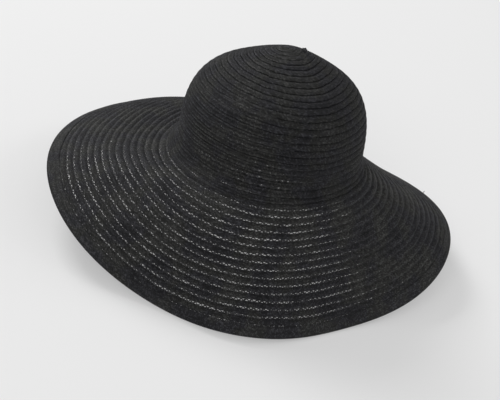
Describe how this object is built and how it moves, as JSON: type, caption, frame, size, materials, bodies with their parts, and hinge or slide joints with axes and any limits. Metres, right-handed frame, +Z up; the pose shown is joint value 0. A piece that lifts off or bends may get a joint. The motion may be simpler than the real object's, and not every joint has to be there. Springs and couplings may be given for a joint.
{
  "type": "sun hat",
  "caption": "Wide-brimmed sun hat of narrow dark braid sewn round and round, with a round crown, a drooping wavy brim and a doubled edge row.",
  "frame": {"origin": "middle of the hat's bounding box, on the level surface that the brim stands on", "axes": "+Z up from that surface, +Y from the low front of the brim towards its back, +X towards the wearer's left-hand side as seen from the front"},
  "size_m": [0.393, 0.3405, 0.1835],
  "materials": {
    "crown_braid": "closely sewn woven paper straw braid, charcoal black, softly matt",
    "brim_braid": "woven paper straw braid with an open lacy margin to every row, charcoal black, softly matt",
    "edge_braid": "doubled and closely stitched paper straw braid, charcoal black, matt"
  },
  "bodies": {
    "root": {"crown_tip": "crown_braid", "crown": "crown_braid", "brim": "brim_braid", "brim_edge": "edge_braid"}
  },
  "joints": []
}
